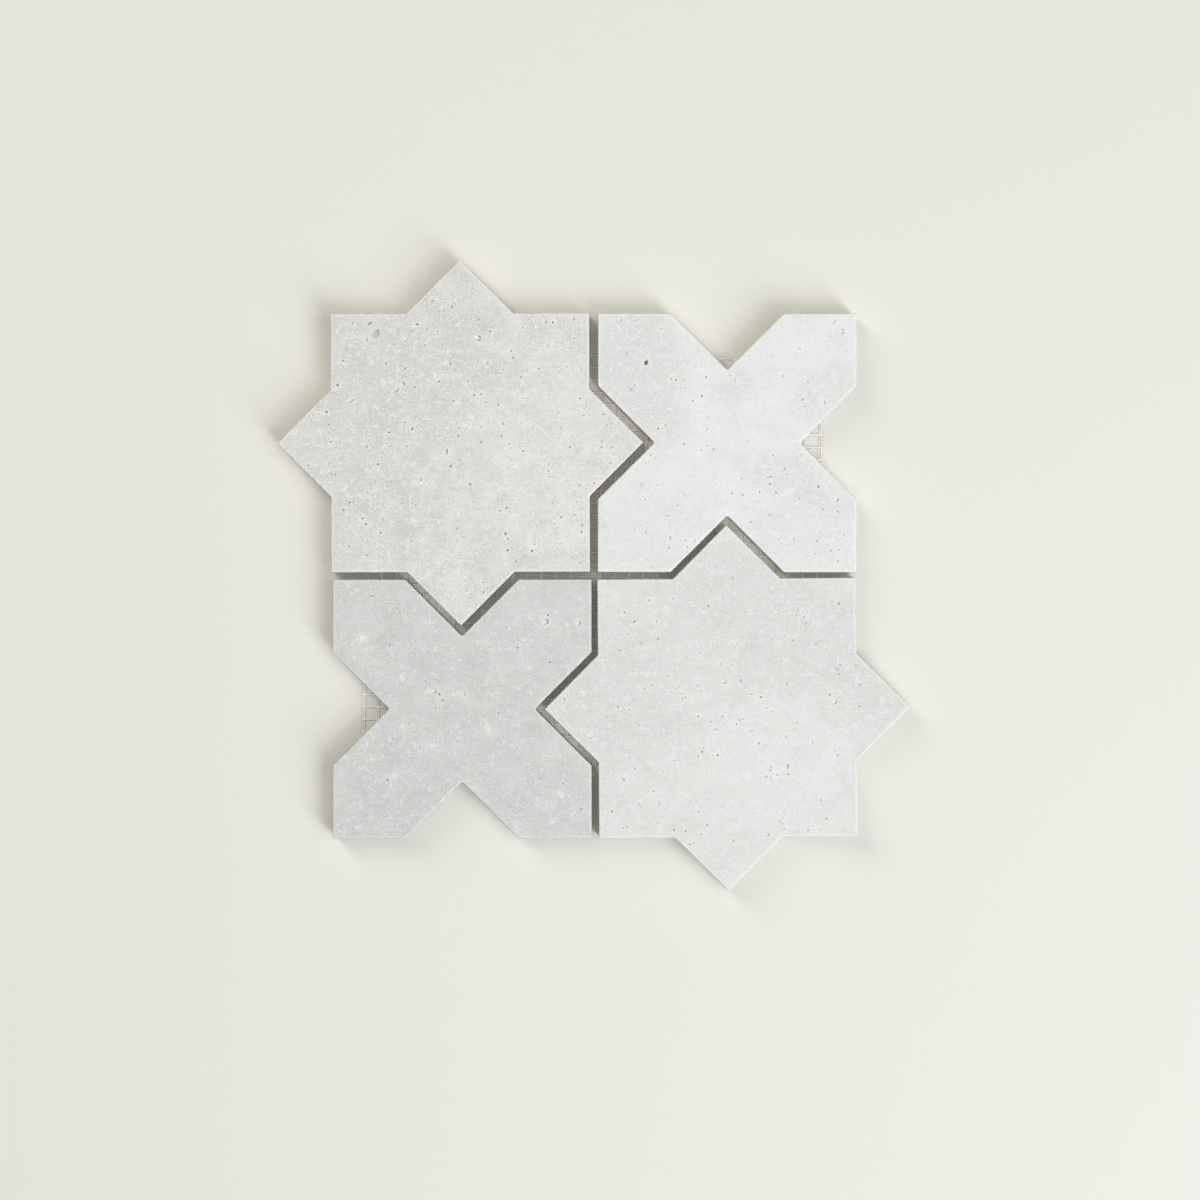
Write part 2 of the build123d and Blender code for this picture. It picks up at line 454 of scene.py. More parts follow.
def blunt_tips(loop, tips):
    """Rounds the sharp outward points."""
    rounded = []
    for i, tip in enumerate(loop):
        if i not in tips:
            rounded.append(tip)
            continue
        reach = TIP_RADIUS * math.tan(turn_at(loop, i) / 2)
        first = tip + (loop[i - 1] - tip).normalized() * reach
        last = tip + (loop[(i + 1) % len(loop)] - tip).normalized() * reach
        centre = tips[i][0]
        for step in range(TIP_STEPS + 1):
            mixed = first.lerp(last, step / TIP_STEPS) - centre
            rounded.append(centre + mixed.normalized() * TIP_RADIUS)
    return rounded


def fill_edges(loop, spacing):
    """Adds evenly spaced points along the long edges of an outline."""
    filled = []
    for a, b in zip(loop, loop[1:] + loop[:1]):
        steps = max(1, round((b - a).length / spacing))
        filled += [a.lerp(b, step / steps) for step in range(steps)]
    return filled


class EdgePoint:
    """A point of a tile's outline, which can be set inward without crossing its neighbours."""

    def __init__(self, place, move, tip):
        self.place = place
        self.move = move  # inward by 1
        self.tip = tip

    def inward(self, distance):
        if self.tip and distance > TIP_RADIUS:
            centre, move = self.tip
            return centre + move * (distance - TIP_RADIUS)
        return self.place + self.move * distance


def edge_points(loop, tips):
    """The points of an outline, each knowing which way is inward and which worn tip it belongs to."""
    points = []
    for i, place in enumerate(loop):
        tip = next((t for t in tips if (place - t[0]).length < TIP_RADIUS + NEAR), None)
        if tip:
            points.append(EdgePoint(place, (tip[0] - place).normalized(), tip))
            continue
        before = (place - loop[i - 1]).normalized()
        after = (loop[(i + 1) % len(loop)] - place).normalized()
        first, second = Vector((-before.y, before.x)), Vector((-after.y, after.x))
        points.append(EdgePoint(place, (first + second) / (1 + first.dot(second)), None))
    return points


def distance_inside(place, loop):
    """How far a place lies inside an outline, or below 0 outside it."""
    inside, nearest = False, math.inf
    for a, b in zip(loop, loop[1:] + loop[:1]):
        edge = b - a
        share = max(0.0, min(1.0, (place - a).dot(edge) / edge.length_squared))
        nearest = min(nearest, (place - a - edge * share).length)
        if (a.y > place.y) != (b.y > place.y):
            if place.x < a.x + (place.y - a.y) / (b.y - a.y) * edge.x:
                inside = not inside
    return nearest if inside else -nearest


# Pits


class Pit:
    """A hollow, crater or pale spot in a face."""

    def __init__(self, rng, x, y, radius, depth, wall, dark, rim,
                 heart=0.0, stretch=1.2, lean=0.0, rings=BOWL, turn=None):
        self.middle = Vector((x, y))
        self.radius = radius
        self.depth = depth * radius * rng.uniform(*PIT_DEPTH_SPREAD)
        self.wall = wall
        self.dark = dark
        self.rim = rim
        self.heart = heart
        self.rings = rings
        steep_side = math.radians(rng.uniform(*LEAN_TOWARDS) if turn is None else turn)
        self.lean = Vector((math.cos(steep_side), math.sin(steep_side))) * lean
        self.stretch = stretch * rng.uniform(*PIT_STRETCH_SPREAD)
        self.turn = rng.uniform(0, math.pi) if turn is None else math.radians(turn)
        self.halo = HALO_RING
        self.sides = next(sides for below, sides in PIT_SIDES if radius < below)
        self.uneven = [rng.uniform(*PIT_UNEVEN) for _ in range(self.sides)]

    def ring(self, share):
        """Points round the pit at a share of its radius."""
        points = []
        for i, uneven in enumerate(self.uneven):
            angle = 2 * math.pi * i / self.sides
            kept = 1 if share <= 1 else HALO_UNEVEN
            reach = self.radius * share * (1 + (uneven - 1) * kept)
            x, y = reach * math.cos(angle) * self.stretch, reach * math.sin(angle) / self.stretch
            c, s = math.cos(self.turn), math.sin(self.turn)
            points.append(self.middle + Vector((x * c - y * s, x * s + y * c)))
        return points

    def steepness(self, place):
        """How steep the wall is at a place, and how dark its painted shade, beside its usual 1."""
        return 1 + self.lean.dot((place - self.middle).normalized())

    def reach(self):
        """How far from its middle the pit needs room."""
        return self.radius * self.halo * self.stretch * PIT_ROOM


def lies_inside(pit, loop):
    """Whether a pit with its halo lies wholly inside an outline."""
    if distance_inside(pit.middle, loop) > pit.reach():
        return True
    return all(distance_inside(place, loop) > 0 for place in pit.ring(pit.halo))


class PitField:
    """Pits that keep clear of each other."""

    CELL = 5.0

    def __init__(self):
        self.pits = []
        self.cells = {}

    def near(self, place):
        cx, cy = int(place.x // self.CELL), int(place.y // self.CELL)
        for i in range(cx - 1, cx + 2):
            for j in range(cy - 1, cy + 2):
                yield from self.cells.get((i, j), ())

    def clear(self, place, reach):
        return all((p.middle - place).length > p.reach() + reach for p in self.near(place))

    def add(self, pit):
        """Keeps a pit that has room, drawing in its halo and those of pits that lie close."""
        middle, reach = pit.middle, pit.reach()
        close = [p for p in self.near(middle) if (p.middle - middle).length < p.reach() + reach]
        for crowded in [pit, *close] if close else []:
            crowded.halo = CLOSE_HALO
        if self.clear(pit.middle, pit.reach()):
            self.pits.append(pit)
            cell = (int(pit.middle.x // self.CELL), int(pit.middle.y // self.CELL))
            self.cells.setdefault(cell, []).append(pit)


def small_pit(rng, x, y, spread=PIT_SPREAD):
    """One of the many small pits, most of them tiny."""
    radius = SMALLEST_PIT + spread * rng.random() ** PIT_RARITY
    dark = rng.uniform(*SMALL_PIT_DARK)
    depth = rng.uniform(*SMALL_PIT_DEPTH)
    rim = rng.uniform(*SMALL_PIT_RIM)
    return Pit(rng, x, y, radius, depth, dark / 2, dark, rim)


def face_pits(rng, tile, loop, middle):
    """The marks that stand out on a tile's face and small pits scattered between them in drifts."""
    field = PitField()
    for kind, marks in tile["marks"].items():
        for x, y, radius, *turn in marks:
            look = MARK_KINDS[kind]
            way = turn[0] if turn else None
            field.add(Pit(rng, middle.x + x, middle.y + y, radius, turn=way, **look))
    scatter(rng, field, tile["pits"], loop, tile["seed"])
    for pit in field.pits:
        if distance_inside(pit.middle, loop) < pit.reach() + EDGE_MARGIN:
            pit.halo = CLOSE_HALO
    field.pits = [p for p in field.pits if distance_inside(p.middle, loop) > p.reach() + EDGE_MARGIN]
    return field


def scatter(rng, field, count, loop, seed):
    """Adds small pits inside an outline, thicker in some places than in others."""
    low = Vector((min(p.x for p in loop), min(p.y for p in loop)))
    high = Vector((max(p.x for p in loop), max(p.y for p in loop)))
    place = (low + high) / 2
    while count > 0:
        if rng.random() < CLUSTER_CHANCE:
            place = place + Vector((rng.gauss(0, CLUSTER_SPREAD), rng.gauss(0, CLUSTER_SPREAD)))
        else:
            place = Vector((rng.uniform(low.x, high.x), rng.uniform(low.y, high.y)))
            drift = noise.noise((place.x / DRIFT_SIZE, place.y / DRIFT_SIZE, seed * DRIFT_NOISE))
            if rng.random() > DRIFT_MIDDLE + drift:
                continue
        pit = small_pit(rng, place.x, place.y)
        if distance_inside(place, loop) > pit.reach() + EDGE_MARGIN:
            field.add(pit)
            count -= 1


def pitted_panel(shell, edge, edge_places, cuts, field, fill, lay):
    """Fills an outline with triangles and sinks pits into it.

    edge is the flat outline and edge_places where its points lie; cuts are pairs of its points to join;
    lay turns a flat place and a depth into a place in space.
    """
    flat = list(edge)
    ids = [shell.point(p) for p in edge_places]
    loops = [list(range(len(edge)))]
    # Each pit's rim and halo carry its paleness: painted highlight round a pit, the stone's own paleness
    # round a spot
    for pit in field.pits:
        for place in pit.ring(pit.halo):
            flat.append(place)
            ids.append(shell.point(lay(place, 0.0), pale=pit.rim * HALO_PALENESS))
        rim = pit.ring(1.0)
        loops.append(list(range(len(flat), len(flat) + len(rim))))
        for place in rim:
            flat.append(place)
            ids.append(shell.point(lay(place, 0.0), pale=pit.rim))
        sink_pit(shell, pit, [ids[i] for i in loops[-1]], lay)
    for place in fill:
        flat.append(place)
        ids.append(shell.point(lay(place, 0.0)))
    made, _, faces, origins, _, within = delaunay_2d_cdt(flat, cuts, loops, 1, 1e-6)
    corner = [ids[o[0]] if o else shell.point(lay(p, 0.0)) for p, o in zip(made, origins)]
    for face, owners in zip(faces, within):
        if owners == [0]:
            shell.face(*(corner[i] for i in face))


def sink_pit(shell, pit, rim, lay):
    """The wall and floor of a pit, below its rim."""
    outer = rim
    count = len(rim)
    for share, deep in pit.rings:
        # Painted shade, from the wall's to the bottom's, and paleness from the rim's to the middle's
        dark = pit.wall + (pit.dark - pit.wall) * (2 * deep - 1)
        pale = pit.rim + (pit.heart - pit.rim) * deep
        inner = []
        # The steep side sinks deeper and its painted shade is darker
        for place in pit.ring(share):
            steep = pit.steepness(place)
            inner.append(shell.point(lay(place, pit.depth * deep * steep), dark * steep, pale))
        for i in range(count):
            j = (i + 1) % count
            shell.face(outer[i], outer[j], inner[j], inner[i])
        outer = inner
    bottom = shell.point(lay(pit.middle, pit.depth), pit.dark, pit.heart)
    for i in range(count):
        shell.face(outer[i], outer[(i + 1) % count], bottom)


def grid_fill(loop, field, spacing, margin):
    """Places in staggered rows that fill an outline between its pits."""
    places = []
    low_x, high_x = min(p.x for p in loop), max(p.x for p in loop)
    y, row = min(p.y for p in loop), 0
    while y < max(p.y for p in loop):
        x = low_x + (spacing / 2 if row % 2 else 0)
        while x < high_x:
            place = Vector((x, y))
            if distance_inside(place, loop) > margin and field.clear(place, GRID_FROM_PIT):
                places.append(place)
            x += spacing
        y += spacing * math.sqrt(3) / 2
        row += 1
    return places


# Tiles


def arris_insets(rng, edge, tips, seed):
    """How far the eased edge reaches into the face at each point: a slow wander, with some chips."""
    insets = []
    for point in edge:
        place = point.tip[0] if point.tip else point.place
        along = (place.x / ARRIS_WANDER_LENGTH, place.y / ARRIS_WANDER_LENGTH, seed * EDGE_NOISE)
        inset = ARRIS_INSET + ARRIS_WANDER * noise.noise(along)
        if rng.random() < CHIP_CHANCE and all((place - t[0]).length > CHIP_FROM_TIP for t in tips):
            inset += CHIP_INSET * rng.uniform(*CHIP_DEPTH)
        insets.append(inset)
    return insets


def stone_tile(node, tile):
    """A tile of the solid's own outline, with eased edges and pits in its face, sides and back."""
    rng = random.Random(tile["seed"])
    low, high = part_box(node)
    bottom, top = low.z / MM, high.z / MM
    middle = (low + high).xy / 2 / MM
    sharp = underside_outline(node)
    tips = worn_tips(sharp)
    outline = blunt_tips(sharp, tips)
    loop = fill_edges(outline, EDGE_SPACING)
    edge = edge_points(loop, tips.values())
    insets = arris_insets(rng, edge, tips.values(), tile["seed"])
    shell = Shell()

    rings = []
    for step in range(ARRIS_STEPS + 1):
        angle = math.pi / 2 * step / ARRIS_STEPS
        height = top - ARRIS_DROP * (1 - math.sin(angle))
        share = 1 - math.cos(angle)
        rings.append([(*point.inward(inset * share), height) for point, inset in zip(edge, insets)])
    # The eased edge is pale: partly bruised stone, partly a painted highlight
    for lower, upper in zip(rings, rings[1:]):
        for i in range(len(loop)):
            j = (i + 1) % len(loop)
            corners = (lower[i], lower[j], upper[j], upper[i])
            shell.face(*(shell.point(p, pale=tile["bruise_and_highlight"]) for p in corners))
    border = [(*point.inward(inset + ARRIS_BORDER), top) for point, inset in zip(edge, insets)]
    for i in range(len(loop)):
        j = (i + 1) % len(loop)
        shell.face(*(shell.point(p) for p in (rings[-1][i], rings[-1][j], border[j], border[i])))

    border = [p for i, p in enumerate(border) if p != border[i - 1]]
    face_loop = [Vector(p[:2]) for p in border]
    field = face_pits(rng, tile, outline, middle)
    field.pits = [p for p in field.pits if lies_inside(p, face_loop)]
    margin = ARRIS_INSET + CHIP_INSET + ARRIS_BORDER + GRID_FROM_BORDER
    fill = grid_fill(outline, field, FACE_GRID, margin)
    pitted_panel(shell, face_loop, border, [], field, fill, lambda p, deep: (p.x, p.y, top - deep))

    stone_sides(shell, rng, tile, loop, rings[0], bottom, top - ARRIS_DROP)
    back = PitField()
    scatter(rng, back, int(tile["pits"] * BACK_PITS_SHARE), outline, tile["seed"] + 1)
    back_loop = [Vector((-p.x, p.y)) for p in reversed(loop)]
    for pit in back.pits:
        pit.middle.x = -pit.middle.x
    pitted_panel(
        shell, back_loop, [(-p.x, p.y, bottom) for p in back_loop], [], back, [],
        lambda p, deep: (-p.x, p.y, bottom + deep),
    )
    material = stone_material(tile, middle)
    made = make_object(node, shell.points, shell.faces, shell.values, material, STONE_SHARP)
    finish_piece(made, node)


def stone_sides(shell, rng, tile, loop, upper, bottom, top):
    """The cut sides, unrolled into one long strip, pitted and wrapped round the outline."""
    starts = [0.0]
    for a, b in zip(loop, loop[1:] + loop[:1]):
        starts.append(starts[-1] + (b - a).length)
    corners = [starts[i] for i in range(len(loop)) if abs(turn_at(loop, i)) > CORNER_TURN] + [starts[-1]]
    ends = loop + loop[:1]
    height = top - bottom

    def lay(place, deep):
        i = min(max(bisect_right(starts, place.x) - 1, 0), len(loop) - 1)
        along = (ends[i + 1] - ends[i]).normalized()
        at = ends[i] + along * (place.x - starts[i]) + Vector((-along.y, along.x)) * deep
        return (at.x, at.y, bottom + place.y)

    edge = [Vector((s, 0)) for s in starts] + [Vector((s, height)) for s in reversed(starts)]
    places = [(p.x, p.y, bottom) for p in ends] + list(reversed(upper + upper[:1]))
    last = len(edge) - 1
    cuts = [(i, last - i) for i in range(1, len(loop)) if starts[i] in corners]
    field = PitField()
    for _ in range(int(tile["pits"] * SIDE_PITS_SHARE)):
        pit = small_pit(rng, rng.uniform(0, starts[-1]), rng.uniform(0, height), SIDE_PIT_SPREAD)
        room = min(abs(pit.middle.x - c) for c in corners)
        room = min(room, pit.middle.y, height - pit.middle.y)
        if room > pit.reach() + SIDE_MARGIN:
            field.add(pit)
    pitted_panel(shell, edge, places, cuts, field, [], lay)


def finish_piece(made, node):
    """Ties a piece to the solid it stands for."""
    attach(made, "root")
    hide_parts(node)


# Materials


def new_material(name):
    """An empty material with its tree and its surface shader."""
    material = bpy.data.materials.new(name)
    material.use_nodes = True
    tree = material.node_tree
    return material, tree, tree.nodes["Principled BSDF"]


def add(tree, kind, inputs, **settings):
    """A new node; each input takes a plain value or another node's output."""
    made = tree.nodes.new("ShaderNode" + kind)
    for name, value in settings.items():
        setattr(made, name, value)
    for socket, value in inputs.items():
        if isinstance(value, bpy.types.NodeSocket):
            tree.links.new(value, made.inputs[socket])
        else:
            made.inputs[socket].default_value = value
    return made


def mix(tree, factor, first, second, blend="MIX"):
    """A colour between two."""
    inputs = {0: factor, 6: first, 7: second}
    return add(tree, "Mix", inputs, data_type="RGBA", blend_type=blend).outputs[2]


def maths(tree, operation, first, second=0.0):
    return add(tree, "Math", {0: first, 1: second}, operation=operation).outputs[0]


def vector_maths(tree, operation, first, second):
    return add(tree, "VectorMath", {0: first, 1: second}, operation=operation)


def millimetres(tree):
    """The place on the object in millimetres."""
    coordinates = add(tree, "TexCoord", {}).outputs["Object"]
    return vector_maths(tree, "MULTIPLY", coordinates, (1 / MM,) * 3).outputs[0]


def soft_noise(tree, place, size, detail=3.0, roughness=0.55):
    """Noise from 0 to 1 with features about size millimetres across."""
    inputs = {"Vector": place, "Scale": 1 / size, "Detail": detail, "Roughness": roughness}
    return add(tree, "TexNoise", inputs).outputs["Fac"]


def ramp(tree, value, low, high, out_low=0.0, out_high=1.0):
    """A smooth step from one value to another."""
    inputs = {"Value": value, "From Min": low, "From Max": high, "To Min": out_low, "To Max": out_high}
    return add(tree, "MapRange", inputs, interpolation_type="SMOOTHSTEP").outputs["Result"]


def point_value(tree, name):
    return add(tree, "Attribute", {}, attribute_name=name).outputs["Fac"]


def cloud_mask(tree, place, x, y, reach_x, reach_y, turn):
    """1 inside an oval of the given place, size and turn, fading to 0 across its edge."""
    from_middle = vector_maths(tree, "SUBTRACT", place, (x, y, 0)).outputs[0]
    level = add(tree, "VectorRotate", {"Vector": from_middle, "Angle": -math.radians(turn)}).outputs[0]
    share = vector_maths(tree, "MULTIPLY", level, (1 / reach_x, 1 / reach_y, 0)).outputs[0]
    distance = vector_maths(tree, "LENGTH", share, (0, 0, 0)).outputs["Value"]
    return ramp(tree, distance, *CLOUD_EDGE)


def stone_material(tile, middle):
    """Honed limestone: clouds, mottling, flecks and grain, painted shade in the pits and painted highlight
    round them, pale edges that are partly bruised and partly painted highlight, and streaks down the cut
    sides, whose colour is darkened partly as painted shade for the joints.
    """
    material, tree, shader = new_material(tile["slot"])
    place = millimetres(tree)
    own_place = vector_maths(tree, "ADD", place, (tile["seed"] * COLOUR_NOISE, 0, 0)).outputs[0]
    tone, shade, light = (srgb(tile[k]) for k in ("tone", "shade", "light"))
    strength = tile["mottle"]

    size, detail, reach = CLOUD_STRAY
    inputs = {"Vector": own_place, "Scale": 1 / size, "Detail": detail}
    stray = add(tree, "TexNoise", inputs).outputs["Color"]
    stray = vector_maths(tree, "SUBTRACT", stray, (0.5, 0.5, 0.5)).outputs[0]
    stray = vector_maths(tree, "MULTIPLY", stray, (reach, reach, 0)).outputs[0]
    wavy = vector_maths(tree, "ADD", place, stray).outputs[0]

    mottle = soft_noise(tree, own_place, *MOTTLE)
    colour = mix(tree, ramp(tree, mottle, *PALE_MOTTLE, 0, MOTTLE_STRENGTH * strength), tone, light)
    colour = mix(tree, ramp(tree, mottle, *DARK_MOTTLE, 0, MOTTLE_STRENGTH * strength), colour, shade)
    coarse = tile["grain"]
    for x, y, reach_x, reach_y, turn, depth in tile["clouds"]:
        mask = cloud_mask(tree, wavy, middle.x + x, middle.y + y, reach_x, reach_y, turn)
        mask = maths(tree, "MULTIPLY", mask, abs(depth))
        colour = mix(tree, mask, colour, shade if depth > 0 else light)
        if depth > 0:
            coarse = maths(tree, "ADD", mask, coarse)  # greyer stone is more textured

    elsewhere = vector_maths(tree, "ADD", own_place, ELSEWHERE).outputs[0]
    patches = ramp(tree, soft_noise(tree, elsewhere, *PATCH), *PATCH_GRAIN)
    coarse = maths(tree, "MULTIPLY", patches, coarse)  # and it is smooth in places

    fleck = soft_noise(tree, own_place, *FLECK)
    pale_fleck = maths(tree, "MULTIPLY", ramp(tree, fleck, *PALE_FLECK), coarse)
    dark_fleck = maths(tree, "MULTIPLY", ramp(tree, fleck, *DARK_FLECK), coarse)
    colour = mix(tree, pale_fleck, colour, light)
    colour = mix(tree, dark_fleck, colour, shade)
    grain = soft_noise(tree, own_place, *GRAIN)
    pale_grain = maths(tree, "MULTIPLY", ramp(tree, grain, *PALE_GRAIN), coarse)
    dark_grain = maths(tree, "MULTIPLY", ramp(tree, grain, *DARK_GRAIN), coarse)
    colour = mix(tree, pale_grain, colour, light)
    colour = mix(tree, dark_grain, colour, shade)
    warmth = ramp(tree, soft_noise(tree, elsewhere, *WARMTH), *WARM_PLACES, 0, strength)
    colour = mix(tree, warmth, colour, WARM_TINT, "MULTIPLY")

    # Paleness: painted highlight round pits and in craters, edges partly bruised and partly painted
    # highlight, and the stone's own pale spots
    pale = point_value(tree, "pale")
    pale = maths(tree, "MULTIPLY", pale, ramp(tree, grain, *BROKEN_PALE))
    colour = mix(tree, pale, colour, srgb(PALE_COLOUR))
    # Painted shade in the pits, darker on a pit's steep side
    pit = maths(tree, "MULTIPLY", point_value(tree, "pit"), tile["pit_dark"])
    colour = mix(tree, pit, colour, srgb(PIT_COLOUR))

    normal = add(tree, "NewGeometry", {}).outputs["True Normal"]
    upright = add(tree, "SeparateXYZ", {0: normal}).outputs["Z"]
    cut = ramp(tree, maths(tree, "ABSOLUTE", upright), *CUT_SLOPE)
    drawn = vector_maths(tree, "MULTIPLY", own_place, STREAK_DRAW).outputs[0]
    streaks = soft_noise(tree, drawn, *STREAK)
    # The cut sides' colour: warmer than the face, and darker, partly as painted shade for the joints
    side = mix(tree, ramp(tree, streaks, *PALE_STREAK), srgb(tile["cut"]), light)
    side = mix(tree, ramp(tree, streaks, *DARK_STREAK), side, srgb(PIT_COLOUR))
    # Painted shade in the pits of the cut sides
    side = mix(tree, pit, side, srgb(PIT_COLOUR))
    colour = mix(tree, maths(tree, "MULTIPLY", cut, CUT_STRENGTH), colour, side)
    tree.links.new(colour, shader.inputs["Base Color"])

    rough = ramp(tree, soft_noise(tree, own_place, *POLISH), *ROUGHNESS)
    tree.links.new(rough, shader.inputs["Roughness"])
    shader.inputs["Specular IOR Level"].default_value = STONE_SPECULAR

    height = maths(tree, "MULTIPLY", maths(tree, "MULTIPLY", streaks, cut), STREAK_RELIEF)
    height = maths(tree, "ADD", height, soft_noise(tree, own_place, *RELIEF))
    bump = add(tree, "Bump", {**STONE_BUMP, "Height": height})
    tree.links.new(bump.outputs["Normal"], shader.inputs["Normal"])
    return material


def yarn_material():
    """Coated glass-fibre yarn: off-white, with fine filaments along it and painted shade on its flanks."""
    material, tree, shader = new_material("glass_fibre_mesh")
    inputs = {0: point_value(tree, "round"), 1: point_value(tree, "along")}
    across = add(tree, "CombineXYZ", inputs).outputs[0]
    drawn = vector_maths(tree, "MULTIPLY", across, FILAMENT_DRAW).outputs[0]
    filaments = add(tree, "TexNoise", {"Vector": drawn, "Scale": 1.0, "Detail": 3.0}).outputs["Fac"]
    coating = soft_noise(tree, millimetres(tree), *COATING)
    first, second = (srgb(c) for c in YARN_COLOURS)
    colour = mix(tree, ramp(tree, filaments, *FILAMENT_RANGE), first, second)
    colour = mix(tree, ramp(tree, coating, *COATED_PLACES), colour, srgb(YARN_COATING))
    # Painted shade: the yarn's flanks are darkened, standing in for the shadow lines beside the strands
    normal = add(tree, "NewGeometry", {}).outputs["Normal"]
    upright = add(tree, "SeparateXYZ", {0: normal}).outputs["Z"]
    colour = mix(tree, ramp(tree, upright, *FLANK_SHADE_SLOPE), colour, srgb(YARN_FLANK_SHADE))
    tree.links.new(colour, shader.inputs["Base Color"])
    shader.inputs["Roughness"].default_value = YARN_ROUGHNESS
    shader.inputs["Specular IOR Level"].default_value = YARN_SPECULAR
    bump = add(tree, "Bump", {**YARN_BUMP, "Height": filaments})
    tree.links.new(bump.outputs["Normal"], shader.inputs["Normal"])
    return material


# Backing mesh


class Yarns:
    """Gathers tubes of flattened yarn into one mesh."""

    def __init__(self):
        self.points = []
        self.faces = []
        self.values = {"round": [], "along": []}

    def point(self, place, around, along):
        self.points.append(tuple(place))
        self.values["round"].append(around)
        self.values["along"].append(along)
        return len(self.points) - 1

    def tube(self, path, width, thickness):
        """A closed tube of oval section along a path that lies nearly flat."""
        along = 0.0
        last_ring = None
        for i, place in enumerate(path):
            ahead = path[min(i + 1, len(path) - 1)] - path[max(i - 1, 0)]
            side = Vector((-ahead.y, ahead.x, 0)).normalized()
            if i:
                along += (place - path[i - 1]).length
            ring = []
            for k in range(YARN_SIDES):
                angle = 2 * math.pi * k / YARN_SIDES
                across = side * math.cos(angle) * width / 2
                rise = Vector((0, 0, math.sin(angle) * thickness / 2))
                ring.append(self.point(place + across + rise, k / YARN_SIDES, along))
            if last_ring is None:
                self.cap(ring[::-1], place, along)
            else:
                for k in range(YARN_SIDES):
                    j = (k + 1) % YARN_SIDES
                    self.faces.append((last_ring[k], last_ring[j], ring[j], ring[k]))
            last_ring = ring
        self.cap(last_ring, path[-1], along)

    def cap(self, ring, place, along):
        """Closes the end of a tube."""
        middle = self.point(place, 0.5, along)
        for k in range(len(ring)):
            self.faces.append((ring[k], ring[(k + 1) % len(ring)], middle))


def mesh_place(u, v, height):
    """A place on the mesh's own grid, turned and shifted to where the mesh lies."""
    c, s = math.cos(MESH_TURN), math.sin(MESH_TURN)
    return Vector((MESH_SHIFT[0] + u * c - v * s, MESH_SHIFT[1] + u * s + v * c, height))


def strand_places(count, pitch):
    return [(i - (count - 1) / 2) * pitch for i in range(count)]


def wander(place, along, seed):
    """How far a yarn strays sideways, slowly along its length."""
    return YARN_WANDER * noise.noise((along / WANDER_LENGTH, place * WANDER_STEP, seed))


def warp_path(u, side, low, high, wefts):
    """A warp yarn: one of the pair passes over every weft, the other under."""
    over = side > 0
    stops = []
    v = low
    while v < high - SHORTEST_STEP:
        stops.append(v)
        v += WEFT_PITCH / YARN_STEPS[0]
    stops.append(high)
    path = []
    for v in stops:
        nearest = min(abs(v - w) for w in wefts)
        pressed = max(0.0, 1 - nearest / (WEFT_PITCH / 2))
        level = WARP_HIGH if over else WARP_LOW
        height = WEFT_HEIGHT + (level - WEFT_HEIGHT) * (WARP_SLACK + (1 - WARP_SLACK) * pressed)
        path.append(mesh_place(u + side * YARN_APART + wander(u, v, WARP_NOISE + side), v, height))
    return path


def weft_path(v, left, right):
    """A weft yarn, straight between the pairs of warp yarns."""
    steps = round((right - left) / (WARP_PITCH / YARN_STEPS[1]))
    stops = [left + (right - left) * i / steps for i in range(steps + 1)]
    return [mesh_place(u, v + wander(v, u, WEFT_NOISE), WEFT_HEIGHT) for u in stops]


def cut_ends(rng, start, end, seam):
    """Where a yarn of one quarter starts and ends: only its outer end is cut a little short."""
    if end > seam:
        return start, end - rng.uniform(0, CUT_SHORT)
    return start + rng.uniform(0, CUT_SHORT), end


def backing_mesh(material):
    """The mesh in quarters, cut along the same lines as the solid one."""
    rng = random.Random(MESH_SEED)
    warps = strand_places(WARP_COUNT, WARP_PITCH)
    wefts = strand_places(WEFT_COUNT, WEFT_PITCH)
    seam_u = (warps[WARP_COUNT // 2 - 1] + warps[WARP_COUNT // 2]) / 2
    seam_v = (wefts[WEFT_COUNT // 2 - 1] + wefts[WEFT_COUNT // 2]) / 2
    columns = {"left": (-MESH_WIDTH / 2, seam_u), "right": (seam_u, MESH_WIDTH / 2)}
    rows = {"lower": (-MESH_LENGTH / 2, seam_v), "upper": (seam_v, MESH_LENGTH / 2)}
    for row, (low, high) in rows.items():
        for column, (left, right) in columns.items():
            yarns = Yarns()
            for u in warps:
                if left < u < right:
                    for side in (-1, 1):
                        start, end = cut_ends(rng, low, high, seam_v)
                        yarns.tube(warp_path(u, side, start, end, wefts), *WARP_YARN)
            for v in wefts:
                if low < v < high:
                    yarns.tube(weft_path(v, *cut_ends(rng, left, right, seam_u)), *WEFT_YARN)
            if (row, column) == ("upper", "left"):
                yarns.tube([Vector((x, y, WEFT_HEIGHT)) for x, y in LOOSE_END], *LOOSE_YARN)
            node = f"backing_mesh_{row}_{column}"
            made = make_object(node, yarns.points, yarns.faces, yarns.values, material, YARN_SHARP)
            finish_piece(made, node)


# Studio


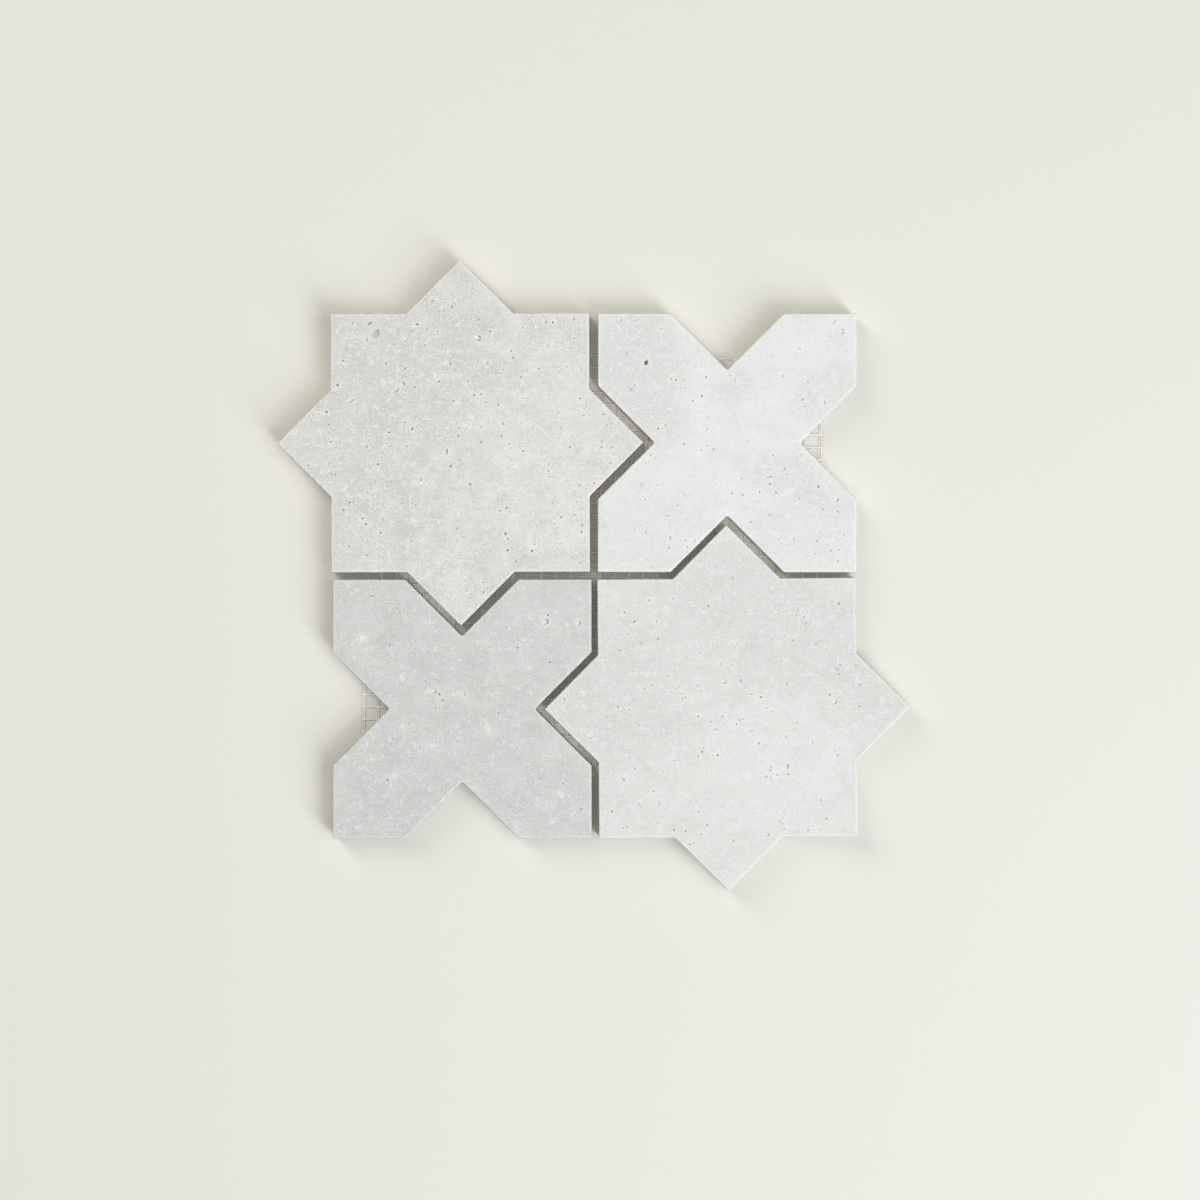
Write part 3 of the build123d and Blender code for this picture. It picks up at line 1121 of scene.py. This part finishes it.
def floor():
    """A plain pale floor that has no horizon: far away it looks as the backdrop does."""
    half = FLOOR_SIZE / 2
    corners = [(-half, -half, 0), (half, -half, 0), (half, half, 0), (-half, half, 0)]
    mesh = bpy.data.meshes.new("floor")
    mesh.from_pydata(corners, [], [(0, 1, 2, 3)])
    material, tree, shader = new_material("floor")
    shader.inputs["Base Color"].default_value = srgb(FLOOR_COLOUR)
    shader.inputs["Roughness"].default_value = FLOOR_ROUGHNESS
    shader.inputs["Specular IOR Level"].default_value = FLOOR_SPECULAR
    place = add(tree, "NewGeometry", {}).outputs["Position"]
    far = ramp(tree, vector_maths(tree, "LENGTH", place, (0, 0, 0)).outputs["Value"], *FLOOR_FADE)
    seen = add(tree, "LightPath", {}).outputs["Is Camera Ray"]
    backdrop = add(tree, "Emission", {"Color": srgb(FLOOR_COLOUR), "Strength": BACKDROP_STRENGTH})
    inputs = {0: maths(tree, "MULTIPLY", far, seen), 1: shader.outputs[0], 2: backdrop.outputs[0]}
    surface = add(tree, "MixShader", inputs).outputs[0]
    tree.links.new(surface, tree.nodes["Material Output"].inputs["Surface"])
    mesh.materials.append(material)
    made = bpy.data.objects.new("floor", mesh)
    bpy.context.scene.collection.objects.link(made)


def lights():
    """A faint sky and four soft lamps: two low and opposite, one at the right, one overhead."""
    world = bpy.data.worlds.new("studio")
    bpy.context.scene.world = world
    world.use_nodes = True
    tree = world.node_tree
    seen = add(tree, "LightPath", {}).outputs["Is Camera Ray"]
    strength = ramp(tree, seen, 0, 1, SKY_STRENGTH, BACKDROP_STRENGTH)
    tree.nodes["Background"].inputs["Color"].default_value = srgb(FLOOR_COLOUR)
    tree.links.new(strength, tree.nodes["Background"].inputs["Strength"])
    for name, (azimuth, elevation, width, height, power, tint) in LAMPS.items():
        lamp = bpy.data.lights.new(name, "AREA")
        lamp.shape = "ELLIPSE"
        lamp.size = width
        lamp.size_y = height
        lamp.energy = power
        lamp.color = tint
        made = bpy.data.objects.new(name, lamp)
        level = math.cos(math.radians(elevation))
        towards = Vector((
            level * math.cos(math.radians(azimuth)),
            level * math.sin(math.radians(azimuth)),
            math.sin(math.radians(elevation)),
        ))
        made.location = towards * LAMP_DISTANCE
        made.rotation_euler = (-towards).to_track_quat("-Z", "Y").to_euler()
        bpy.context.scene.collection.objects.link(made)


def camera():
    """Straight above the sheet, with the picture's top towards +Y."""
    lens = bpy.data.cameras.new("camera")
    lens.sensor_width = SENSOR_WIDTH
    lens.lens = SENSOR_WIDTH * CAMERA_HEIGHT / VIEW_WIDTH
    made = bpy.data.objects.new("camera", lens)
    made.location = (CAMERA_OFFSET[0] * MM, CAMERA_OFFSET[1] * MM, CAD_BOX[1].z + CAMERA_HEIGHT * MM)
    bpy.context.scene.collection.objects.link(made)
    bpy.context.scene.camera = made


for node, tile in TILES.items():
    stone_tile(node, tile)
backing_mesh(yarn_material())
floor()
lights()
camera()
bpy.context.scene.view_settings.view_transform = "Standard"
